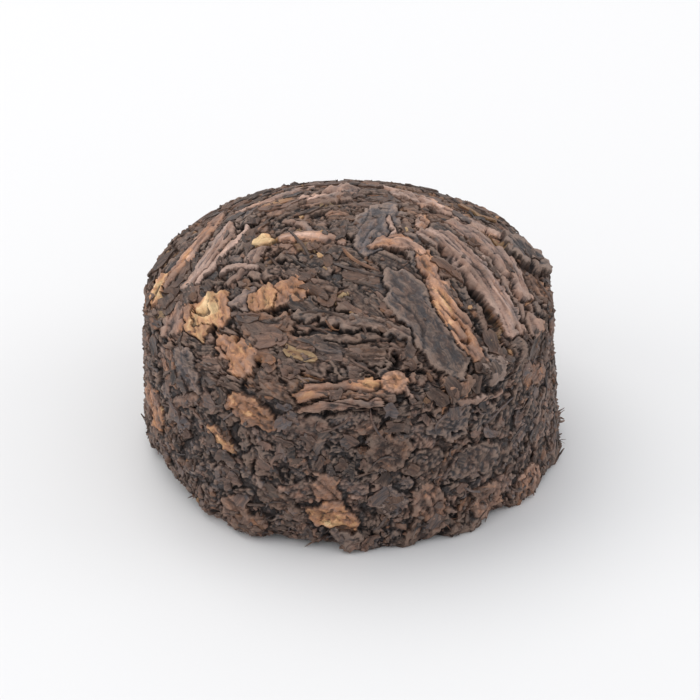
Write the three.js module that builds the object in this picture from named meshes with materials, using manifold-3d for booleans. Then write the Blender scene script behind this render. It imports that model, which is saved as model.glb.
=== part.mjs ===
// A mini tuocha: one small cake of ripe pu-erh tea, pressed in a mould from whole and broken leaves.
// It is a drum with an almost straight wall, a soft shoulder and a low dome on top. It stands on a flat
// ring, round the shallow hollow that the press leaves in the underside. Its surface is a mosaic of
// flattened leaves and rolled strands that lie in the mould's face, with crevices between them.
// Millimetres, +Z up. The origin is the centre of the footprint, and the shown side faces -Y.
import * as THREE from "three";
import { mergeVertices } from "three/addons/utils/BufferGeometryUtils.js";
import Module from "manifold-3d";

const wasm = await Module();
wasm.setup();

// Driving dimensions
const DIAMETER = 23; // across the wall at its foot
const HEIGHT = 13.3; // from the table to the top of the dome
const WALL_TOP = 9.1; // where the wall turns into the shoulder
const WALL_TAPER = 0.15; // how much narrower the radius is at the wall's top
const SHOULDER_IN = 0.7; // the shoulder's width, seen from above
const SHOULDER_UP = 0.7; // the shoulder's height
const BASE_EDGE = 0.6; // radius of the edge round the foot
const HOLLOW_RADIUS = 4.6; // the hollow in the underside
const HOLLOW_DEPTH = 2.4;
const CORE_INSET = 0.3; // the packed core lies this far inside the mould's face
const RING_PROUD = 0.16; // and this far outside it under the ring, where the press flattens it
const FOOT_DEPTH = 0.9; // how deep the sides of a leaf reach

// The mould's profile, from the top of the dome outwards and down, and under to the hollow's middle.
// Each point is [radius, height], and s is the length along the profile from the top.
const wallRadius = DIAMETER / 2;
const wallTopRadius = wallRadius - WALL_TAPER;
const capRadius = wallTopRadius - SHOULDER_IN;
const capBase = WALL_TOP + SHOULDER_UP;

function capRing(rise, radius, share) {
  const sphere = (radius ** 2 + rise ** 2) / (2 * rise);
  const r = radius * share;
  return [r, Math.sqrt(sphere ** 2 - r ** 2) - (sphere - rise)];
}

function quarter(share, width, height) {
  const angle = (share * Math.PI) / 2;
  return [width * Math.sin(angle), height * Math.cos(angle)];
}

const profile = [[0, HEIGHT]];
const zoneEnds = [];

function zone(count, place) {
  for (let i = 1; i <= count; i++) profile.push(place(i / count));
  zoneEnds.push(profile.length - 1);
}

// the dome
zone(48, (t) => {
  const [r, rise] = capRing(HEIGHT - capBase, capRadius, t);
  return [r, capBase + rise];
});
// the shoulder
zone(10, (t) => {
  const [out, up] = quarter(t, SHOULDER_IN, SHOULDER_UP);
  return [capRadius + out, WALL_TOP + up];
});
// the wall
zone(40, (t) => [
  wallTopRadius + WALL_TAPER * t,
  WALL_TOP + (BASE_EDGE - WALL_TOP) * t,
]);
// the edge round the foot
zone(10, (t) => {
  const [down, out] = quarter(t, BASE_EDGE, BASE_EDGE);
  return [wallRadius - BASE_EDGE + out, BASE_EDGE - down];
});
// the flat ring it stands on
zone(20, (t) => {
  const outer = wallRadius - BASE_EDGE;
  return [outer + (HOLLOW_RADIUS - outer) * t, 0];
});
// the hollow
zone(24, (t) => capRing(HOLLOW_DEPTH, HOLLOW_RADIUS, 1 - t));

const lengths = [0];
const areas = [0];
for (let i = 1; i < profile.length; i++) {
  const [r0, z0] = profile[i - 1];
  const [r1, z1] = profile[i];
  const step = Math.hypot(r1 - r0, z1 - z0);
  lengths.push(lengths[i - 1] + step);
  areas.push(areas[i - 1] + (step * (r0 + r1)) / 2);
}
const fullLength = lengths[lengths.length - 1];
const fullArea = areas[areas.length - 1];
const [domeEnd, shoulderEnd, wallEnd, edgeEnd, ringEnd] = zoneEnds.map(
  (i) => lengths[i],
);

function stepBefore(table, value) {
  let i = 1;
  while (i < table.length - 1 && table[i] < value) i++;
  const share = (value - table[i - 1]) / (table[i] - table[i - 1]);
  return [i, Math.min(1, Math.max(0, share))];
}

// Radius, height and outward normal of the mould's face at s.
function faceAt(s) {
  const [i, share] = stepBefore(lengths, s);
  const [r0, z0] = profile[i - 1];
  const [r1, z1] = profile[i];
  const step = Math.hypot(r1 - r0, z1 - z0);
  return {
    r: r0 + (r1 - r0) * share,
    z: z0 + (z1 - z0) * share,
    nr: (z0 - z1) / step,
    nz: (r1 - r0) / step,
  };
}

// The cake is not quite round: how much wider or narrower it is here.
function swell(s, bearing) {
  return (
    0.1 * Math.sin(2 * bearing + 0.6 + 0.09 * s) +
    0.06 * Math.sin(3 * bearing - 0.21 * s + 1.9) +
    0.04 * Math.sin(5 * bearing + 0.33 * s + 4.1)
  );
}

// A point over the mould's face: s along it, the bearing round it from -Y towards +X, h outwards.
function placed(s, bearing, h) {
  const { r, z, nr, nz } = faceAt(s);
  const radius = r + h * nr + (swell(s, bearing) * r) / wallRadius;
  return [
    radius * Math.sin(bearing),
    -radius * Math.cos(bearing),
    z + h * nz,
  ];
}

// A leaf lies on the face as on a map drawn round the pole that is nearer: the top, or the hollow's
// middle. This gives the place of its point x along the leaf, y across it and h over the face.
function onFace(leaf, x, y, h) {
  const under = leaf.s > edgeEnd;
  const fromPole = under ? fullLength - leaf.s : leaf.s;
  const widen = fromPole / Math.max(faceAt(leaf.s).r, 0.3);
  const cos = Math.cos(leaf.heading);
  const sin = Math.sin(leaf.heading);
  const u = fromPole + x * cos - y * sin;
  const v = (x * sin + y * cos) * widen;
  const reach = Math.hypot(u, v);
  const turn = Math.atan2(v, u);
  return under
    ? placed(fullLength - reach, leaf.bearing - turn, h)
    : placed(reach, leaf.bearing + turn, h);
}

// A seeded draw from 0 to 1
let seed = 20260;
function draw() {
  seed = (Math.imul(seed, 1664525) + 1013904223) >>> 0;
  return seed / 4294967296;
}

const between = (low, high) => low + (high - low) * draw();
const radians = (degrees) => (degrees * Math.PI) / 180;

// The leaves that show most, each from one end to the other as [s, bearing in degrees].
const STANDING_OUT = [
  { from: [3.9, 36], to: [10.6, 29], width: 2.5, bow: 0.1, top: 0.22 }, // broad dark leaf
  { from: [1.6, 40], to: [11.2, 43], width: 1.15, bow: -1.35, top: 0.3 }, // golden strand over it
  { from: [1.0, 120], to: [5.0, 150], width: 1.9, bow: 0, top: 0.16 }, // dark leaf at the crown
  { from: [4.6, 92], to: [11.0, 62], width: 1.3, bow: -0.5, top: 0.24 }, // ridge on the right
  { from: [6.2, 118], to: [11.2, 78], width: 1.1, bow: -0.5, top: 0.2 }, // the ridge beside it
  { from: [7.2, 168], to: [9.8, 112], width: 1.2, bow: -0.7, top: 0.2 }, // strand at the back right
  { from: [5.2, -100], to: [1.0, 20], width: 0.9, bow: 0.5, top: 0.2 }, // tan strand near the crown
  { from: [10.9, -84], to: [9.4, -128], width: 1.3, bow: -0.4, top: 0.2 }, // pink strand, left shoulder
  { from: [9.6, -74], to: [7.6, -118], width: 1.1, bow: -0.4, top: 0.12 }, // grey strand inside it
  { from: [7.4, -64], to: [4.4, -112], width: 1.0, bow: -0.3, top: 0.12 }, // grey strand, left
  { from: [5.3, -50], to: [6.7, -27], width: 1.9, bow: 0, top: 0.18 }, // orange flake
  { from: [8.6, -66], to: [10.2, -47], width: 1.9, bow: 0, top: 0.2 }, // golden flake
  { from: [10.0, -46], to: [11.7, -33], width: 1.9, bow: 0, top: 0.12 }, // tan flake below it
  { from: [10.6, 10], to: [11.6, 20], width: 1.2, bow: 0, top: 0.16 }, // small orange flake
  { from: [13.2, -35], to: [14.2, -22], width: 1.5, bow: 0, top: 0.08 }, // red flake on the wall
  { from: [11.6, -16], to: [12.6, 14], width: 1.0, bow: 0.3, top: 0.1 }, // strand along the shoulder
  { from: [17.2, -11], to: [18.6, -4], width: 1.3, bow: 0, top: 0.06 }, // red flake lower down
  { from: [19.6, -9], to: [20.4, 3], width: 1.6, bow: 0, top: 0.14 }, // tan flake at the foot
  { from: [15.4, -42], to: [17.6, -32], width: 0.8, bow: 0, top: 0.08 }, // orange streak, left wall
  { from: [16.4, -78], to: [18.8, -64], width: 2.0, bow: 0, top: 0.08 }, // pink leaf, left wall
];

function fromEnds({ from, to, width, bow, top }) {
  const [a, b] = [from, to].map(([s, degrees]) => [
    s * Math.cos(radians(degrees)),
    s * Math.sin(radians(degrees)),
  ]);
  const middle = [(a[0] + b[0]) / 2, (a[1] + b[1]) / 2];
  const s = Math.hypot(...middle);
  const bearing = Math.atan2(middle[1], middle[0]);
  const run = [b[0] - a[0], b[1] - a[1]];
  const out = run[0] * Math.cos(bearing) + run[1] * Math.sin(bearing);
  const narrow = Math.max(faceAt(s).r, 0.3) / s;
  const round =
    (run[1] * Math.cos(bearing) - run[0] * Math.sin(bearing)) * narrow;
  const length = Math.hypot(out, round);
  return {
    s,
    bearing,
    heading: Math.atan2(round, out),
    length,
    width,
    bow,
    top,
    tapers: [0.5, 0.35],
  };
}

// The rest are strewn evenly: each takes the place, of a few drawn ones, that is farthest from the others.
const STREWN = 80;
const TRIES = 7;

function farthestPlace(taken) {
  let best = null;
  for (let i = 0; i < TRIES; i++) {
    const [j, share] = stepBefore(areas, draw() * fullArea);
    const s = lengths[j - 1] + (lengths[j] - lengths[j - 1]) * share;
    const bearing = between(0, 2 * Math.PI);
    const point = placed(s, bearing, 0);
    const clear = Math.min(
      99,
      ...taken.map((p) =>
        Math.hypot(p[0] - point[0], p[1] - point[1], p[2] - point[2]),
      ),
    );
    if (!best || clear > best.clear) best = { s, bearing, point, clear };
  }
  return best;
}

// The way that leaves lie, in degrees from straight outwards, by the bearing in degrees. On the dome they
// swirl: round it at the back and the left, outwards at the front right, and slantwise on the right.
const SWIRL = [
  [-180, 90],
  [-130, 85],
  [-60, 95],
  [-15, 85],
  [15, 60],
  [32, 8],
  [50, -10],
  [70, -35],
  [110, -50],
  [150, -60],
  [180, -90],
];

function headingAt(s, bearing) {
  if (s > shoulderEnd) return radians(90 + between(-60, 60));
  const degrees = ((((bearing * 180) / Math.PI + 180) % 360) + 360) % 360 - 180;
  const i = Math.max(1, SWIRL.findIndex(([limit]) => degrees <= limit));
  const [[from, a], [to, b]] = [SWIRL[i - 1], SWIRL[i]];
  const middle = a + ((b - a) * (degrees - from)) / (to - from);
  return radians(middle + between(-25, 25));
}

function strewnLeaves(standing) {
  const taken = standing.map((leaf) => placed(leaf.s, leaf.bearing, 0));
  const leaves = [];
  for (let i = 0; i < STREWN; i++) {
    const { s, bearing, point } = farthestPlace(taken);
    taken.push(point);
    const rolled = draw() < (s < domeEnd ? 0.45 : 0.15);
    leaves.push({
      s,
      bearing,
      heading: headingAt(s, bearing),
      length: rolled ? between(3.4, 5.8) : between(2.2, 4.2),
      width: rolled ? between(0.8, 1.2) : between(1.5, 2.6),
      bow: rolled ? between(-0.5, 0.5) : between(-0.2, 0.2),
      top: between(-0.1, 0.16),
      tapers: [between(0.1, 0.7), between(0.1, 0.7)],
    });
  }
  return leaves;
}

// One leaf as a closed solid, lofted over cross-sections. Its sides go down into the core, its top is
// crowned, and its two ends are narrower and lie lower.
const ACROSS = [-1, -0.7, 0, 0.7, 1]; // share of the half width
const CROWN = [null, -0.1, 0, -0.1, null]; // height against the ridge; null is a foot in the core

function leafGeometry(leaf) {
  const sections = leaf.length > 3 ? 4 : 3;
  const positions = [];
  for (let i = 0; i <= sections; i++) {
    const along = (2 * i) / sections - 1; // -1 at one end, 1 at the other
    const half = (leaf.width / 2) * (1 - leaf.tapers[i % 2] * along ** 4);
    const middle = leaf.bow * (1 - along ** 2);
    const ridge = leaf.top - 0.12 * along ** 4;
    ACROSS.forEach((side, k) => {
      const foot = CROWN[k] === null;
      const h = foot ? -FOOT_DEPTH : ridge + CROWN[k];
      const lean = foot ? 0.82 : 1.0;
      positions.push(
        ...onFace(
          leaf,
          (along * leaf.length * (foot ? 0.94 : 1)) / 2,
          middle + side * half * lean,
          h,
        ),
      );
    });
  }
  const ring = ACROSS.length;
  const index = [];
  for (let i = 0; i < sections; i++) {
    for (let k = 0; k < ring; k++) {
      const a = i * ring + k;
      const b = i * ring + ((k + 1) % ring);
      index.push(a, a + ring, b, b, a + ring, b + ring);
    }
  }
  const last = sections * ring;
  for (let k = 1; k < ring - 1; k++) {
    index.push(0, k, k + 1);
    index.push(last, last + k + 1, last + k);
  }
  return new THREE.BufferGeometry()
    .setAttribute("position", new THREE.Float32BufferAttribute(positions, 3))
    .setIndex(index);
}

// The packed core shows between the leaves as blunt lumps: each is a cell of broken leaf with a height
// of its own, and its border is a crevice.
const CELL = 2.6;
const LUMP = 0.36; // how much the lumps' heights differ
const CREVICE = 0.3;

function cellDraw(i, j, k, which) {
  let n = (i * 73856093) ^ (j * 19349663) ^ (k * 83492791) ^ (which * 2654435);
  n = Math.imul(n ^ (n >>> 13), 1274126177);
  return ((n ^ (n >>> 16)) >>> 0) / 4294967296;
}

function lumpAt(point) {
  const cell = point.map((c) => Math.floor(c / CELL));
  const found = [];
  for (let i = -1; i <= 1; i++)
    for (let j = -1; j <= 1; j++)
      for (let k = -1; k <= 1; k++) {
        const at = [cell[0] + i, cell[1] + j, cell[2] + k];
        const away = at.map(
          (c, axis) => (c + cellDraw(...at, axis)) * CELL - point[axis],
        );
        found.push([Math.hypot(...away), cellDraw(...at, 3)]);
      }
  found.sort((a, b) => a[0] - b[0]);
  const border = Math.min(1, (found[1][0] - found[0][0]) / 0.8);
  const nearAxis = Math.min(1, Math.hypot(point[0], point[1]) / 4);
  return nearAxis * (LUMP * (found[0][1] - 0.5) - CREVICE * (1 - border));
}

const AROUND = 46;
const ROWS = [
  ...rows(9, 0, domeEnd),
  ...rows(1, domeEnd, shoulderEnd),
  ...rows(6, shoulderEnd, wallEnd),
  ...rows(1, wallEnd, edgeEnd),
  ...rows(5, edgeEnd, ringEnd),
  ...rows(4, ringEnd, fullLength),
];

function rows(count, from, to) {
  return Array.from(
    { length: count },
    (_, i) => from + ((to - from) * (i + 1)) / count,
  );
}

function coreGeometry() {
  const positions = [...placed(0, 0, -CORE_INSET)];
  ROWS.slice(0, -1).forEach((s, j) => {
    const pressed = s > edgeEnd && s < ringEnd + 0.1;
    const out = pressed ? RING_PROUD : -CORE_INSET;
    for (let i = 0; i < AROUND; i++) {
      const bearing = (2 * Math.PI * (i + (j % 2) / 2)) / AROUND;
      const lump = lumpAt(placed(s, bearing, 0));
      positions.push(...placed(s, bearing, lump + out));
    }
  });
  positions.push(...placed(fullLength, 0, -CORE_INSET));
  const index = [];
  const last = positions.length / 3 - 1;
  for (let i = 0; i < AROUND; i++) {
    const next = (i + 1) % AROUND;
    index.push(0, 1 + i, 1 + next);
    for (let j = 0; j < ROWS.length - 2; j++) {
      const [a, b] = [1 + j * AROUND + i, 1 + j * AROUND + next];
      const [c, d] = [a + AROUND, b + AROUND];
      if (j % 2) index.push(a, c, d, a, d, b);
      else index.push(a, c, b, b, c, d);
    }
    index.push(last - AROUND + i, last, last - AROUND + next);
  }
  return new THREE.BufferGeometry()
    .setAttribute("position", new THREE.Float32BufferAttribute(positions, 3))
    .setIndex(index);
}

// Geometry to solid and back, for the joining and the cut
function solidOf(geometry) {
  geometry.deleteAttribute("normal");
  geometry.deleteAttribute("uv");
  const merged = mergeVertices(geometry, 1e-3);
  const all = merged.index.array;
  const triangles = [];
  for (let i = 0; i < all.length; i += 3) {
    const [a, b, c] = [all[i], all[i + 1], all[i + 2]];
    if (a !== b && b !== c && c !== a) triangles.push(a, b, c);
  }
  return new wasm.Manifold(
    new wasm.Mesh({
      numProp: 3,
      vertProperties: merged.attributes.position.array,
      triVerts: new Uint32Array(triangles),
    }),
  );
}

function geometryOf(solid) {
  const mesh = solid.getMesh();
  return new THREE.BufferGeometry()
    .setAttribute(
      "position",
      new THREE.BufferAttribute(new Float32Array(mesh.vertProperties), 3),
    )
    .setIndex(new THREE.BufferAttribute(new Uint32Array(mesh.triVerts), 1));
}

// The outermost skin alone: gaps sealed between leaves are filled, and loose crumbs fall away.
function outermost(solid) {
  const skins = solidOf(geometryOf(solid)).decompose();
  return skins.reduce((a, b) => (b.volume() > a.volume() ? b : a));
}

// The press leaves everything under the table's plane cut flat.
function belowTable() {
  const side = 2 * DIAMETER;
  const block = new THREE.BoxGeometry(side, side, HEIGHT);
  block.translate(0, 0, -HEIGHT / 2);
  return solidOf(block);
}

const standing = STANDING_OUT.map(fromEnds);
const leaves = [...standing, ...strewnLeaves(standing)];
let cake = solidOf(coreGeometry()).simplify(0.07);
for (const leaf of leaves) cake = cake.add(solidOf(leafGeometry(leaf)));
cake = outermost(cake.subtract(belowTable()).simplify(0.05));
const { min, max } = cake.boundingBox();
cake = cake.translate([-(min[0] + max[0]) / 2, -(min[1] + max[1]) / 2, 0]);

const tuocha = new THREE.Mesh(
  geometryOf(cake),
  new THREE.MeshStandardMaterial({
    color: 0x3f2f28,
    roughness: 0.78,
    metalness: 0,
  }),
);
tuocha.name = "tuocha";

const group = new THREE.Group();
group.add(tuocha);
export default group;
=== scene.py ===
import math

import bpy
import numpy as np
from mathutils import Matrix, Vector, noise


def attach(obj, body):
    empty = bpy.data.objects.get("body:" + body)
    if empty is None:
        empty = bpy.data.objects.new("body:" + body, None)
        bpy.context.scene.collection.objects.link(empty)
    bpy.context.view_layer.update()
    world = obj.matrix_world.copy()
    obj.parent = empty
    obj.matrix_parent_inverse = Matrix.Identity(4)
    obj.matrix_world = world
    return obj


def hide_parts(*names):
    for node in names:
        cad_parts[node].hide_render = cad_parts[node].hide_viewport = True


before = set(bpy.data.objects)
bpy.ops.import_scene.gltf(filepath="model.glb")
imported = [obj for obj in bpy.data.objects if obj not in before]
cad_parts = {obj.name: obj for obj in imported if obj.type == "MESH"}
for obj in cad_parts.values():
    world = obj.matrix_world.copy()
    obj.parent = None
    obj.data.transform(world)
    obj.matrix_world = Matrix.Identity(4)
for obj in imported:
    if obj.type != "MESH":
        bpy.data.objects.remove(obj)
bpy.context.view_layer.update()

# The stand: a plain pale table under soft studio light, which comes mostly from above, from behind and
# from the left. The camera looks down at 33 degrees, with the shown side (-Y) in front.
scene = bpy.context.scene
scene.view_settings.view_transform = "Standard"

CAMERA_RISE = math.radians(33)
CAMERA_DISTANCE = 0.4
aim = Vector((0, 0, 0.0056))
camera_data = bpy.data.cameras.new("camera")
camera_data.lens = 372
camera_data.sensor_width = 36
camera_data.clip_start = 0.01
camera = bpy.data.objects.new("camera", camera_data)
camera.location = aim + CAMERA_DISTANCE * Vector(
    (0, -math.cos(CAMERA_RISE), math.sin(CAMERA_RISE))
)
camera.rotation_euler = (math.pi / 2 - CAMERA_RISE, 0, 0)
scene.collection.objects.link(camera)
scene.camera = camera

world = bpy.data.worlds.new("studio")
world.use_nodes = True
world.node_tree.nodes["Background"].inputs["Color"].default_value = (0.97, 0.98, 1, 1)
world.node_tree.nodes["Background"].inputs["Strength"].default_value = 0.91
scene.world = world


def add_softbox(name, place, size, watts, tint):
    lamp = bpy.data.lights.new(name, "AREA")
    lamp.size = size
    lamp.energy = watts
    lamp.color = tint
    box = bpy.data.objects.new(name, lamp)
    box.location = place
    box.rotation_euler = (aim - Vector(place)).to_track_quat("-Z", "Y").to_euler()
    scene.collection.objects.link(box)


add_softbox("softbox_above", (-0.16, 0.2, 0.44), 0.42, 1.0, (1, 0.975, 0.94))
add_softbox("softbox_left", (-0.42, -0.02, 0.2), 0.25, 0.4, (1, 0.98, 0.95))
add_softbox("softbox_right", (0.42, 0.04, 0.2), 0.25, 0.32, (0.96, 0.98, 1))

bpy.ops.object.select_all(action="DESELECT")
bpy.ops.mesh.primitive_plane_add(size=3)
table = bpy.context.object
table.name = "table"
table_finish = bpy.data.materials.new("pale_table")
table_finish.use_nodes = True
table_shader = table_finish.node_tree.nodes["Principled BSDF"]
table_shader.inputs["Base Color"].default_value = (0.75, 0.75, 0.756, 1)
table_shader.inputs["Roughness"].default_value = 0.6
table.data.materials.append(table_finish)

# The pressed body: leaves, strands and broken leaf that a mould has packed hard, each flattened into the
# mould's
# face with a ragged edge and a crack round it, which painted shade darkens. Three closed pieces share one
# relief:
# the cap, the wall round it, and the foot with its hollow. Lengths are in millimetres here.
MM = 0.001
DIAMETER = 23
HEIGHT = 13.3
WALL_TOP = 9.1
WALL_TAPER = 0.15
SHOULDER_IN = 0.7
SHOULDER_UP = 0.7
BASE_EDGE = 0.6
HOLLOW_RADIUS = 4.6
HOLLOW_DEPTH = 2.4
FOOT_SHIFT = np.array([-0.0045, 0.0577, 0.0])  # centres the footprint on the origin

wall_radius = DIAMETER / 2
wall_top_radius = wall_radius - WALL_TAPER
cap_radius = wall_top_radius - SHOULDER_IN
cap_base = WALL_TOP + SHOULDER_UP


def cap_ring(rise, radius, share):
    """A point of a round cap: its radius at a share of the rim's, and its height over the rim."""
    sphere = (radius**2 + rise**2) / (2 * rise)
    r = radius * share
    return r, math.sqrt(sphere**2 - r**2) - (sphere - rise)


def dome_point(t):
    r, rise = cap_ring(HEIGHT - cap_base, cap_radius, t)
    return r, cap_base + rise


def shoulder_point(t):
    turn = t * math.pi / 2
    return (
        cap_radius + SHOULDER_IN * math.sin(turn),
        WALL_TOP + SHOULDER_UP * math.cos(turn),
    )


def wall_point(t):
    return wall_top_radius + WALL_TAPER * t, WALL_TOP + (BASE_EDGE - WALL_TOP) * t


def edge_point(t):
    turn = t * math.pi / 2
    return (
        wall_radius - BASE_EDGE + BASE_EDGE * math.cos(turn),
        BASE_EDGE - BASE_EDGE * math.sin(turn),
    )


def ring_point(t):
    outer = wall_radius - BASE_EDGE
    return outer + (HOLLOW_RADIUS - outer) * t, 0.0


def hollow_point(t):
    return cap_ring(HOLLOW_DEPTH, HOLLOW_RADIUS, 1 - t)


profile = [(0.0, HEIGHT)]
zone_ends = []
for count, point_at in (
    (48, dome_point),
    (10, shoulder_point),
    (40, wall_point),
    (10, edge_point),
    (20, ring_point),
    (24, hollow_point),
):
    profile += [point_at(i / count) for i in range(1, count + 1)]
    zone_ends.append(len(profile) - 1)
profile = np.array(profile)
steps = np.diff(profile, axis=0)
step_lengths = np.hypot(steps[:, 0], steps[:, 1])
lengths = np.concatenate([[0], np.cumsum(step_lengths)])
radius_sums = (profile[1:, 0] + profile[:-1, 0]) / 2
areas = np.concatenate([[0], np.cumsum(step_lengths * radius_sums)])
full_length = lengths[-1]
dome_end, shoulder_end, wall_end, edge_end, ring_end = lengths[zone_ends[:5]]
flat_normals = np.stack([-steps[:, 1], steps[:, 0]], axis=1) / step_lengths[:, None]
normals = np.vstack(
    [flat_normals[:1], (flat_normals[1:] + flat_normals[:-1]) / 2, flat_normals[-1:]]
)
normals /= np.linalg.norm(normals, axis=1)[:, None]


def face_at(s):
    """Radius, height and outward normal of the mould's face, at s along its profile from the top."""
    return (
        np.interp(s, lengths, profile[:, 0]),
        np.interp(s, lengths, profile[:, 1]),
        np.interp(s, lengths, normals[:, 0]),
        np.interp(s, lengths, normals[:, 1]),
    )


def swell(s, bearing):
    """How far the drum is out of round."""
    return (
        0.1 * np.sin(2 * bearing + 0.6 + 0.09 * s)
        + 0.06 * np.sin(3 * bearing - 0.21 * s + 1.9)
        + 0.04 * np.sin(5 * bearing + 0.33 * s + 4.1)
    )


def placed(s, bearing, h):
    """A point h over the mould's face, with the bearing taken round it from -Y towards +X."""
    r, z, nr, nz = face_at(s)
    radius = r + h * nr + swell(s, bearing) * r / wall_radius
    x = radius * np.sin(bearing)
    y = -radius * np.cos(bearing)
    return np.stack([x, y, np.maximum(z + h * nz, 0)], axis=-1) + FOOT_SHIFT


LEAST_RADIUS = 0.3


def lie_of(leaf):
    """Whether a leaf is on the underside, how far it lies from the pole, and that over the radius there."""
    under = leaf["s"] > edge_end
    from_pole = full_length - leaf["s"] if under else leaf["s"]
    return under, from_pole, from_pole / max(face_at(leaf["s"])[0], LEAST_RADIUS)


def face_place(leaf, x, y):
    """Where a point of a leaf lies on the face: x along the leaf and y across it, from its middle."""
    under, from_pole, widen = lie_of(leaf)
    cos, sin = math.cos(leaf["heading"]), math.sin(leaf["heading"])
    u = from_pole + x * cos - y * sin
    v = (x * sin + y * cos) * widen
    reach = np.hypot(u, v)
    turn = np.arctan2(v, u)
    if under:
        return full_length - reach, leaf["bearing"] - turn
    return reach, leaf["bearing"] + turn


# The leaves lie in a swirl on the dome: round it at the back and the left, outwards at the front right
# and slantwise on the right. The pairs are a bearing, and the angle from straight outwards.
SWIRL = np.array(
    [
        (-180, 90),
        (-130, 85),
        (-60, 95),
        (-15, 85),
        (15, 60),
        (32, 8),
        (50, -10),
        (70, -35),
        (110, -50),
        (150, -60),
        (180, -90),
    ]
)


def read_round(pairs, bearing):
    """Reads a table of pairs, each a bearing in degrees and a value, at bearings in radians."""
    degrees = (np.degrees(bearing) + 180) % 360 - 180
    return np.interp(degrees, pairs[:, 0], pairs[:, 1])


def swirl_at(bearing):
    return np.radians(read_round(SWIRL, bearing))


SEED = 514
rng = np.random.default_rng(SEED)
noise.seed_set(SEED)
NOISE_REACH = 1.6
SCATTER = (127.1, 311.7, 74.7)
SCATTER_GAIN = 43758.5


def noise_at(points, scale):
    """Three fields of soft random values from about -1 to 1, at that many waves a millimetre."""
    return NOISE_REACH * np.array([noise.noise_vector(Vector(p * scale)) for p in points])


def fold_noise(along, across, seed):
    """Soft random values from -1 to 1 over the flat of a leaf, another field for each seed."""
    column, row = np.floor(along), np.floor(across)
    u, v = along - column, across - row
    u, v = u * u * (3 - 2 * u), v * v * (3 - 2 * v)

    def corner(i, j):
        key = (column + i) * SCATTER[0] + (row + j) * SCATTER[1] + seed * SCATTER[2]
        return np.sin(key) * SCATTER_GAIN % 1

    near_row = corner(0, 0) * (1 - u) + corner(1, 0) * u
    far_row = corner(0, 1) * (1 - u) + corner(1, 1) * u
    return 2 * (near_row * (1 - v) + far_row * v) - 1


def grains_at(points, scale):
    """The gap to the next grain, and a random value for each grain, at that many grains a millimetre."""
    gaps = np.empty(len(points))
    values = np.empty(len(points))
    for i, point in enumerate(points):
        reach, middles = noise.voronoi(Vector(point * scale))
        gaps[i] = reach[1] - reach[0]
        values[i] = math.sin(middles[0].dot(SCATTER)) * SCATTER_GAIN % 1
    return gaps, values
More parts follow.
